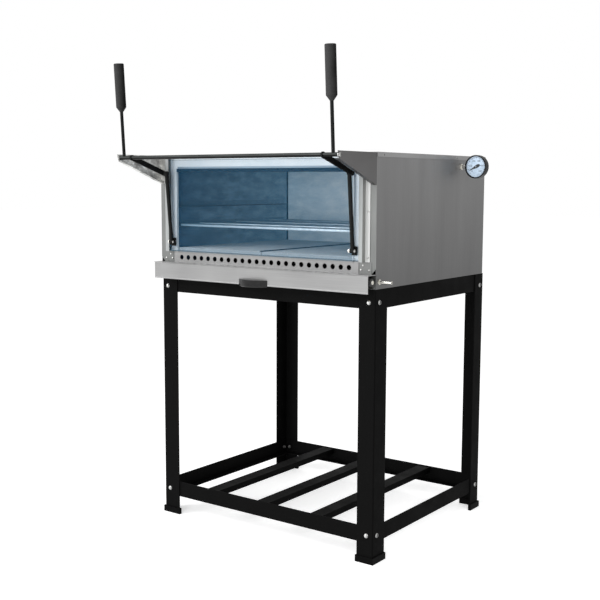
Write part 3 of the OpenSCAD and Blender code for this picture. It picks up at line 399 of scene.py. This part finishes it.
# The liners are one sheet in copies painted to different levels of light and shade: the left one dark, the
# back one pale
left_liner = heated_liner("heat_blued_liner_side", "#142a40", "#829eb0", "Y", 0.0, liner_high.y, 0.3, 0.5)
back_liner = heated_liner("heat_blued_liner_back", "#b9d1de", "#dbeaf2", "X", liner_high.x,
                          liner_high.x + BACK_SHADE_LENGTH, 0.3, 0.3)
other_liner = heated_liner("heat_blued_liner_top", "#8fa9b8", "#b6cad5", "Y", 0.0, liner_high.y, 0.5, 0.3)
runner_sheet = runner_strip("heat_blued_steel_runner", "#142a40", "#829eb0", "#050c12")
drawer_sheet = spangled_sheet("galvanised_steel_drawer", "#a9acad", "#85888a", 0.4)
stand_coat = powder_coat("black_powder_coat_stand", "#020202", "#0d0d0d", 0.6, 1.4 * MM)
gear_coat = powder_coat("black_powder_coat_gear", "#030303", "#232424", 0.5, 1.0 * MM)
weight_coat = powder_coat("black_wrinkle_coat_weights", "#010101", "#3e3e3e", 0.6, 2.5 * MM)
shaft_coat = painted_sheen_coat("black_coat_shaft_painted_sheen", "#050505", "#3c3f3e")
cap_plastic = moulded_plastic("moulded_black_plastic_caps", "#050505", "#0d0d0d", 0.55, 0.04)
grip_plastic = moulded_plastic("moulded_black_plastic_handle", "#050505", "#1e1e1e", 0.22, 0.3)
zinc = plated("dull_zinc_plate", "#e2e2e0", "#565655", 0.3)
nickel = plated("bright_nickel_plate", "#e4e2dd", "#c3c1b9", 0.2)
rack_wire = nickelled_wire("nickelled_rack_wire", "#4f6b7c", "#c0d0db")
cross_wire = nickelled_wire("bright_nickelled_cross_wire", "#8fa9b8", "#d8e4ec")
brass = plated("turned_brass", "#b8923f", "#94712c", 0.3)
burner_steel = scaled_steel("heat_scaled_steel_burner", "#5a5048", "#34302e", 0.55)
bearer_steel = scaled_steel("heat_scaled_steel_bearer", "#4b4744", "#2d2b2a", 0.6)
# Dark cement for the stones' joint, also used as painted shade in the chamber's rear corners
cement_and_corner_shade = scaled_steel("dark_cement_joint_and_corner_shade", "#142634", "#0e1b26", 0.8)
clay = fired_clay("fired_clay_stone", "#cfd8dc", "#aeb9bf", "#6d6c68", "#848f96")
door_pane = tempered_glass("tempered_glass_door", "#3f7ea6", 0.06)
ground_edge = tempered_glass("ground_glass_edge", "#3d5a6b", 0.75)
lens_pane = tempered_glass("clear_dial_glass", "#eef4f8", 0.03)
case_enamel = enamel("black_stoved_enamel_case", "#08090b", "#101114", 0.4)
dial_enamel = enamel("white_stoved_enamel_dial", "#bfd0e2", "#adc0d3", 0.45)
pointer_enamel = enamel("black_stoved_enamel_pointer", "#020204", "#08090c", 0.5)

FINISHES = {
    side_sheet: ["side_panel_left", "side_panel_right", "back_panel", "base_pan"],
    cover_sheet: ["top_cover"],
    frame_sheet: ["front_frame", "corner_plates"],
    front_sheet: ["burner_strip", "drawer_front"],
    guide_sheet: ["guide_left", "guide_right"],
    hood_sheet: ["cheek_right"],
    lit_hood_sheet: ["cheek_left"],
    left_liner: ["liner_left"],
    back_liner: ["liner_back"],
    other_liner: ["liner_right", "liner_top"],
    runner_sheet: ["rack_runners"],
    drawer_sheet: ["drawer_runners", "crumb_tray", "tray_walls"],
    stand_coat: ["leg_fl", "leg_fr", "leg_rl", "leg_rr", "rail_top_front", "rail_top_rear", "rail_top_left",
                 "rail_top_right", "rail_low_front", "rail_low_rear", "rail_low_left", "rail_low_right",
                 "slats"],
    gear_coat: ["cranks", "arm_rods", "link_left", "link_right", "door_brackets"],
    weight_coat: ["weights"],
    shaft_coat: ["shaft"],
    cap_plastic: ["feet"],
    grip_plastic: ["drawer_handle", "valve_knob"],
    zinc: ["fasteners", "pivot_bolts", "link_pins"],
    nickel: ["gas_inlet", "dial_stem"],
    rack_wire: ["wire_rack"],
    brass: ["gas_pipe", "gas_valve"],
    burner_steel: ["burner"],
    bearer_steel: ["stone_bearers"],
    clay: ["stones"],
    door_pane: ["door_glass"],
    lens_pane: ["dial_lens"],
    case_enamel: ["dial_case"],
    dial_enamel: ["dial_plate"],
    pointer_enamel: ["dial_pointer"],
}
for material, names in FINISHES.items():
    for name in names:
        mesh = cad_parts[name].data
        mesh.materials.clear()
        mesh.materials.append(material)


# Pieces that the CAD model leaves to this script

def piece(name, points, faces, material, body, slot):
    """A mesh object at the origin, its faces turned outwards, that rides a body and takes its finish from a
    material slot. The slot argument is not used."""
    mesh = bpy.data.meshes.new(name)
    mesh.from_pydata(np.asarray(points).reshape(-1, 3).tolist(), [], [list(face) for face in faces])
    work = bmesh.new()
    work.from_mesh(mesh)
    bmesh.ops.recalc_face_normals(work, faces=work.faces)
    work.to_mesh(mesh)
    work.free()
    mesh.materials.append(material)
    made = bpy.data.objects.new(name, mesh)
    bpy.context.scene.collection.objects.link(made)
    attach(made, body)
    return made


def swept(sections):
    """A closed skin through matching loops of points, with a cap on the first and the last loop."""
    count, size = sections.shape[:2]
    i, j = np.meshgrid(np.arange(count - 1), np.arange(size), indexing="ij")
    k = (j + 1) % size
    walls = np.stack([i * size + j, i * size + k, (i + 1) * size + k, (i + 1) * size + j], axis=-1)
    last = (count - 1) * size
    return sections, [*walls.reshape(-1, 4).tolist(), range(size - 1, -1, -1), range(last, last + size)]


def bead(start, end, side, up, half, height, power=1.0, steps=12):
    """A bead from start to end. Its section is half a superellipse: half * cos(a)^power to the side and
    height * sin(a)^power upwards, for a from 0 to pi; power 1 is round and a small power is flat-topped."""
    a = np.linspace(0, math.pi, steps + 1)
    across = np.sign(np.cos(a)) * np.abs(np.cos(a)) ** power * half
    rise = np.abs(np.sin(a)) ** power * height
    section = across[:, None] * np.array(side) + rise[:, None] * np.array(up)
    return swept(np.array([start, end])[:, None, :] + section[None])


def turned_x(centre, radii, heights, steps=32):
    """A closed turned form on an axis along X: for each radius r and height h a ring at (h, r * cos(a),
    r * sin(a)) from the centre, for a round a full turn."""
    a = np.linspace(0, 2 * math.pi, steps, endpoint=False)
    rings = np.stack([np.stack([np.full(steps, h), r * np.cos(a), r * np.sin(a)], axis=1)
                      for r, h in zip(radii, heights)])
    return swept(rings + np.array(centre))


# The thermometer's scale and pointer. Shares are of the dial's radius

PLATE_T, PRINT_T = 1 * MM, 0.06 * MM
SCALE_START, SCALE_SWEEP = math.radians(225), math.radians(270)
TICKS, LONG_EVERY = 51, 5
TICK_END, TICK_LENGTHS, TICK_HALVES = 0.93, (0.14, 0.075), (0.017, 0.009)
FIGURES, FIGURE_STEP = 6, 100
FIGURE_RING, FIGURE_SIZE = 0.6, 0.235
BLADE_REACH = np.array([-0.42, -0.32, -0.08, 0.1, 0.4, 0.76])
BLADE_HALF = np.array([0.06, 0.13, 0.16, 0.12, 0.06, 0.03])
plate_low, plate_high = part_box("dial_plate")
dial_x = (plate_low.x + plate_high.x) / 2
dial_z = (plate_low.z + plate_high.z) / 2
dial_r = (plate_high.x - plate_low.x) / 2
print_y = plate_high.y - PLATE_T - PRINT_T


def dial_ticks():
    """Radial bars at even angles: each has four corners, at its inner and outer radius and half its width to
    either side. Every fifth bar is long and wide."""
    turn = SCALE_START - SCALE_SWEEP * np.linspace(0, 1, TICKS)
    long = np.arange(TICKS) % LONG_EVERY == 0
    outer = np.full(TICKS, TICK_END * dial_r)
    inner = outer - np.where(long, *TICK_LENGTHS) * dial_r
    half = np.where(long, *TICK_HALVES) * dial_r
    outward = np.stack([np.cos(turn), np.sin(turn)], axis=1)
    across = np.stack([-np.sin(turn), np.cos(turn)], axis=1)
    corners = np.stack([radius[:, None] * outward + way * half[:, None] * across
                        for radius, way in ((inner, -1), (outer, -1), (outer, 1), (inner, 1))], axis=1)
    flat = corners.reshape(-1, 2)
    points = np.column_stack([dial_x + flat[:, 0], np.full(len(flat), print_y), dial_z + flat[:, 1]])
    return points, np.arange(len(points)).reshape(-1, 4)


def dial_numbers():
    """Meshes of the numbers 0 to 500, their centres on a circle at even angles, as one set of faces."""
    points, faces = [], []
    for i in range(FIGURES):
        text = bpy.data.curves.new("figure", "FONT")
        text.body = str(i * FIGURE_STEP)
        text.size = FIGURE_SIZE * dial_r
        text.align_x, text.align_y = "CENTER", "CENTER"
        text.resolution_u = 3
        holder = bpy.data.objects.new("figure", text)
        mesh = bpy.data.meshes.new_from_object(holder)
        flat = np.array([v.co for v in mesh.vertices])
        turn = SCALE_START - SCALE_SWEEP * i / (FIGURES - 1)
        first = sum(len(p) for p in points)
        points.append(np.column_stack([
            dial_x + FIGURE_RING * dial_r * math.cos(turn) + flat[:, 0], np.full(len(flat), print_y),
            dial_z + FIGURE_RING * dial_r * math.sin(turn) + flat[:, 1]]))
        faces += [[v + first for v in p.vertices] for p in mesh.polygons]
        bpy.data.objects.remove(holder)
    return np.concatenate(points), faces


ticks, tick_faces = dial_ticks()
figures, figure_faces = dial_numbers()
faces = tick_faces.tolist() + [[v + len(ticks) for v in face] for face in figure_faces]
dial_scale = bpy.data.meshes.new("dial_scale")
dial_scale.from_pydata(np.concatenate([ticks, figures]).tolist(), [], faces)
dial_scale.materials.append(pointer_enamel)
scale_piece = bpy.data.objects.new("dial_scale", dial_scale)
bpy.context.scene.collection.objects.link(scale_piece)
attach(scale_piece, "oven")


def pointer_blade():
    """A flat blade on the CAD pointer's own line: half its width runs through points given as shares of the
    dial's radius, from a blunt tail past the hub to a fine tip."""
    corners = np.array([v.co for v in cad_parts["dial_pointer"].data.vertices])
    arms = corners[:, [0, 2]] - (dial_x, dial_z)
    tip = arms[np.argmax(np.hypot(arms[:, 0], arms[:, 1]))]
    lengthwise = tip / np.hypot(*tip)
    across = np.array([-lengthwise[1], lengthwise[0]])
    sides = [dial_r * (BLADE_REACH[:, None] * lengthwise + way * BLADE_HALF[:, None] * across)
             for way in (1, -1)]
    outline = np.concatenate([sides[0], sides[1][::-1]])
    return swept(np.stack([np.column_stack([dial_x + outline[:, 0], np.full(len(outline), y),
                                            dial_z + outline[:, 1]])
                           for y in (corners[:, 1].min(), corners[:, 1].max())]))


blade = piece("pointer_blade", *pointer_blade(), pointer_enamel, "pointer", "pointer")
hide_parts("dial_pointer")

knob_low, knob_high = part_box("valve_knob")
CAP_RADII = np.array([6.0, 6.0, 5.4, 4.0, 1.5]) * MM
CAP_HEIGHTS = np.array([0.0, 1.8, 2.6, 3.1, 3.3]) * MM
piece("knob_cap", *turned_x((knob_high.x, (knob_low.y + knob_high.y) / 2, (knob_low.z + knob_high.z) / 2),
                            CAP_RADII, CAP_HEIGHTS), nickel, "knob", "inlet")


# The polished trim round the opening, painted pale as the glass's reflection, and the seal and its clamp
# above it, all behind the glass

def flat_ring(outer, inner, y, thickness):
    """A rectangular ring in the XZ plane: two nested loops of four corners at y, and two more behind them."""
    loops = [[(x0, depth, z0), (x1, depth, z0), (x1, depth, z1), (x0, depth, z1)]
             for depth in (y, y + thickness) for x0, z0, x1, z1 in (outer, inner)]
    faces = []
    for first, second in ((0, 1), (2, 0), (1, 3), (3, 2)):
        faces += [[4 * first + i, 4 * first + (i + 1) % 4, 4 * second + (i + 1) % 4, 4 * second + i]
                  for i in range(4)]
    return sum(loops, []), faces


frame_low, frame_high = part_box("front_frame")
sill_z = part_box("burner_strip")[1].z
right_liner_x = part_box("liner_right")[0].x
# Height of the front frame above the opening
HEAD = 52.5 * MM
head_z = frame_high.z - HEAD
COLLAR_T = 1.5 * MM
TRIM_T = 0.12 * MM
# How far the trim ends inside the glass's edge, below the frame's top and above the sill
TRIM_INSET, TRIM_DROP, TRIM_LIFT = 5 * MM, 6 * MM, 1 * MM


def trim_skin():
    """A thin skin carried up one side, over the top and down the other side of the opening: it lines the
    folded collar, wraps its front edge and lies on the frame nearly out to the glass's edge. Its section is
    a loop of offsets (beside, above, y), and the loop is mitred at the two upper corners."""
    beside = glass_high.x - TRIM_INSET - right_liner_x
    above = frame_high.z - TRIM_DROP - head_z
    front, back = frame_low.y, face_y
    section = np.array([
        (-TRIM_T, -TRIM_T, back + COLLAR_T), (-TRIM_T, -TRIM_T, front - TRIM_T),
        (COLLAR_T + TRIM_T, COLLAR_T + TRIM_T, front - TRIM_T),
        (COLLAR_T + TRIM_T, COLLAR_T + TRIM_T, back - TRIM_T), (beside, above, back - TRIM_T),
        (beside, above, back), (COLLAR_T, COLLAR_T, back), (COLLAR_T, COLLAR_T, front),
        (0.0, 0.0, front), (0.0, 0.0, back + COLLAR_T)])
    foot_z = sill_z + TRIM_LIFT
    corners = ((liner_high.x, foot_z, -1, 0), (liner_high.x, head_z, -1, 1),
               (right_liner_x, head_z, 1, 1), (right_liner_x, foot_z, 1, 0))
    return swept(np.array([np.column_stack([x + way * section[:, 0], section[:, 2], z + rise * section[:, 1]])
                           for x, z, way, rise in corners]))


piece("opening_trim", *trim_skin(), painted_reflection_trim, "oven", "front")

SEAL_H, SEAL_LAP, SEAL_PROUD = 11.5 * MM, 1.2 * MM, 0.18 * MM
CLAMP_H, CLAMP_PROUD = 6.5 * MM, 1.5 * MM
FLAT_TOP = 0.15
seal_z = head_z - SEAL_LAP + SEAL_H / 2
clamp_z = seal_z + SEAL_H / 2 + CLAMP_H / 2
for name, z, half, depth, finish_of in (
        ("head_seal", seal_z, SEAL_H / 2, face_y - frame_low.y + SEAL_PROUD, seal_braid),
        ("seal_clamp", clamp_z, CLAMP_H / 2, CLAMP_PROUD, clamp_sheet)):
    piece(name, *bead((liner_high.x, face_y, z), (right_liner_x, face_y, z), (0, 0, 1), (0, -1, 0),
                      half, depth, FLAT_TOP), finish_of, "oven", "front")

# The rolled hem along the foot of the drawer's front
HEM_HALF, HEM_PROUD = 1.8 * MM, 0.4 * MM
drawer_low, drawer_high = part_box("drawer_front")
piece("drawer_hem", *bead((drawer_low.x, drawer_low.y, drawer_low.z + HEM_HALF),
                          (drawer_high.x, drawer_low.y, drawer_low.z + HEM_HALF), (0, 0, 1), (0, -1, 0),
                          HEM_HALF, HEM_PROUD), front_sheet, "drawer", "front")

# Folds that close the casing's lower front corners, on the stand's rail beside the drawer's runners
FOLD_Y, FOLD_T, FOLD_H = 12 * MM, 1.2 * MM, 8 * MM
FOLD_INSET, FOLD_GAP = 2 * MM, 0.5 * MM
rail_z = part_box("rail_top_front")[1].z
runner_low, runner_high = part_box("drawer_runners")
for name, ends in (
        ("foot_fold_left", (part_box("side_panel_left")[0].x + FOLD_INSET, runner_low.x - FOLD_GAP)),
        ("foot_fold_right", (runner_high.x + FOLD_GAP, panel_high.x - FOLD_INSET))):
    piece(name, *swept(np.array([[(x, FOLD_Y, rail_z), (x, FOLD_Y + FOLD_T, rail_z),
                                  (x, FOLD_Y + FOLD_T, rail_z + FOLD_H), (x, FOLD_Y, rail_z + FOLD_H)]
                                 for x in ends])), side_sheet, "oven", "casing")

# Cement in the joint between the stones, and a dark bead of painted shade in the chamber's two rear corners
STONE_JOINT_HALF, STONE_JOINT_H, STONE_JOINT_POWER = 5 * MM, 3 * MM, 0.5
CORNER_BEAD = 4.2 * MM
stone_low, stone_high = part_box("stones")
middle_x = (stone_low.x + stone_high.x) / 2
piece("stone_joint_strip", *bead(
    (middle_x, stone_low.y, stone_high.z), (middle_x, stone_high.y, stone_high.z), (1, 0, 0), (0, 0, 1),
    STONE_JOINT_HALF, STONE_JOINT_H, STONE_JOINT_POWER), cement_and_corner_shade, "oven", "bearer")
back_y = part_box("liner_back")[0].y
DIAGONAL = math.sqrt(0.5)
# Painted shade: a dark bead in each rear corner of the chamber
for name, x, way in (("corner_shade_bead_left", liner_high.x, 1), ("corner_shade_bead_right", right_liner_x, -1)):
    piece(name, *bead((x, back_y, stone_high.z), (x, back_y, liner_high.z), (way * DIAGONAL, DIAGONAL, 0),
                      (way * DIAGONAL, -DIAGONAL, 0), CORNER_BEAD, CORNER_BEAD),
          cement_and_corner_shade, "oven", "liner")

# Thin cross wires welded on the rack's long wires, a little sunk into them
CROSS_R, CROSS_INSET, CROSS_DROP = 1.4 * MM, 4 * MM, 1.6 * MM
CROSS_SPACES, CROSS_SIDES = 12, 10
rack_low, rack_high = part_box("wire_rack")
rack_x = (rack_low.x + rack_high.x) / 2
cross_x = rack_high.x - CROSS_INSET - rack_x
cross_z = rack_high.z - CROSS_DROP + CROSS_R
for i in (2, 6, 10):
    piece("rack_cross_%d" % i, *turned_x(
        (rack_x, rack_low.y + (rack_high.y - rack_low.y) * i / CROSS_SPACES, cross_z),
        (CROSS_R, CROSS_R), (-cross_x, cross_x), CROSS_SIDES), cross_wire, "oven", "rack")

# The clevis pins' lock nuts, on the left end of each pin
NUT_RADII = np.array([6.2, 6.2, 5.2]) * MM
NUT_HEIGHTS = np.array([0.0, -4.8, -5.8]) * MM
NUT_SIDES = 6
PIN_HEAD = 4.5 * MM
pin_low, pin_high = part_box("link_pins")
link_places = [(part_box(link)[0].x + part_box(link)[1].x) / 2 for link in ("link_left", "link_right")]
ear_out = pin_high.x - PIN_HEAD - link_places[1]
for name, x in zip(("pin_nut_left", "pin_nut_right"), link_places):
    piece(name, *turned_x((x - ear_out, (pin_low.y + pin_high.y) / 2, (pin_low.z + pin_high.z) / 2),
                          NUT_RADII, NUT_HEIGHTS, NUT_SIDES), nickel, "door", "bolts")

# The door glass's ground edge, wider at its foot
EDGE_T, EDGE_W, EDGE_FOOT = 0.1 * MM, 1.5 * MM, 2.5 * MM
piece("glass_edge", *flat_ring((glass_low.x, glass_low.z, glass_high.x, glass_high.z),
                               (glass_low.x + EDGE_W, glass_low.z + EDGE_FOOT,
                                glass_high.x - EDGE_W, glass_high.z - EDGE_W),
                               glass_low.y - EDGE_T, EDGE_T), ground_edge, "door", "door_glass")


# Floor, light and camera

def lamp(name, at, aim, size, power, highlights=True):
    """A square area lamp at a point, facing another; without highlights it leaves no glint on gloss."""
    data = bpy.data.lights.new(name, "AREA")
    data.size, data.energy = size, power
    made = bpy.data.objects.new(name, data)
    made.location = at
    direction = Matrix.Translation(at).inverted() @ Matrix.Translation(aim)
    made.rotation_euler = direction.translation.to_track_quat("-Z", "Y").to_euler()
    made.visible_glossy = highlights
    bpy.context.scene.collection.objects.link(made)


def shown(tree):
    """1 for the rays that show a surface, straight, mirrored or through glass; 0 for those that light it."""
    rays = add(tree, "ShaderNodeLightPath")
    seen = rays.outputs["Is Camera Ray"]
    for kind in ("Is Glossy Ray", "Is Transmission Ray"):
        seen = add(tree, "ShaderNodeMath", [(0, seen), (1, rays.outputs[kind])],
                   operation="MAXIMUM").outputs[0]
    return seen


lamp("key", (-2.2, -3.4, 3.2), (0.4, 0.3, 0.9), 2.4, 120)
lamp("fill", (3.6, -1.6, 1.8), (0.5, 0.3, 0.7), 1.8, 35)
lamp("chamber", (1.3, -3.3, 1.05), (0.3, 0.5, 1.0), 0.8, 57, highlights=False)

# The world shows white, and lights the oven with less
WORLD_LIGHT = 0.6
world = bpy.data.worlds.new("studio")
bpy.context.scene.world = world
world.use_nodes = True
world.node_tree.nodes.clear()
level = add(world.node_tree, "ShaderNodeMapRange",
            [("Value", shown(world.node_tree)), ("To Min", WORLD_LIGHT), ("To Max", 1.0)])
sky = add(world.node_tree, "ShaderNodeBackground", [("Color", linear(WHITE)),
                                                    ("Strength", level.outputs["Result"])])
add(world.node_tree, "ShaderNodeOutputWorld", [("Surface", sky.outputs["Background"])])

# The floor glows to the eye alone, and little enough to keep the oven's shadow
FLOOR_GLOW = 0.45
FLOOR_HALF = 30.0
floor_finish, floor_tree, floor_shader = finish("matt_white_paper_floor", "#fbfbfb", [
    ("Roughness", 0.9), ("Specular IOR Level", 0.0), ("Emission Color", linear(WHITE))])
glow = add(floor_tree, "ShaderNodeMath", [(0, shown(floor_tree)), (1, FLOOR_GLOW)], operation="MULTIPLY")
floor_tree.links.new(glow.outputs[0], floor_shader.inputs["Emission Strength"])
floor_mesh = bpy.data.meshes.new("floor")
floor_mesh.from_pydata([(x * FLOOR_HALF, y * FLOOR_HALF, 0.0)
                        for x, y in ((-1, -1), (1, -1), (1, 1), (-1, 1))], [], [(0, 1, 2, 3)])
floor_mesh.materials.append(floor_finish)
floor = bpy.data.objects.new("floor", floor_mesh)
bpy.context.scene.collection.objects.link(floor)

# The photograph's viewpoint, with angles in radians. The lens is given as a share of the sensor's width
CAMERA_AT = (2.3532, -2.4255, 1.1136)
YAW, PITCH, ROLL = 0.633506, 0.115626, 0.003664
FOCAL_SHARE = 1.685923
FAR_END = 200.0
view = bpy.data.cameras.new("camera")
view.sensor_width = 36.0
view.lens = FOCAL_SHARE * view.sensor_width
view.clip_end = FAR_END
camera = bpy.data.objects.new("camera", view)
turned = (Matrix.Rotation(YAW, 4, "Z") @ Matrix.Rotation(math.pi / 2 - PITCH, 4, "X")
          @ Matrix.Rotation(ROLL, 4, "Z"))
camera.matrix_world = Matrix.Translation(CAMERA_AT) @ turned
bpy.context.scene.collection.objects.link(camera)
bpy.context.scene.camera = camera
bpy.context.scene.view_settings.view_transform = "Standard"
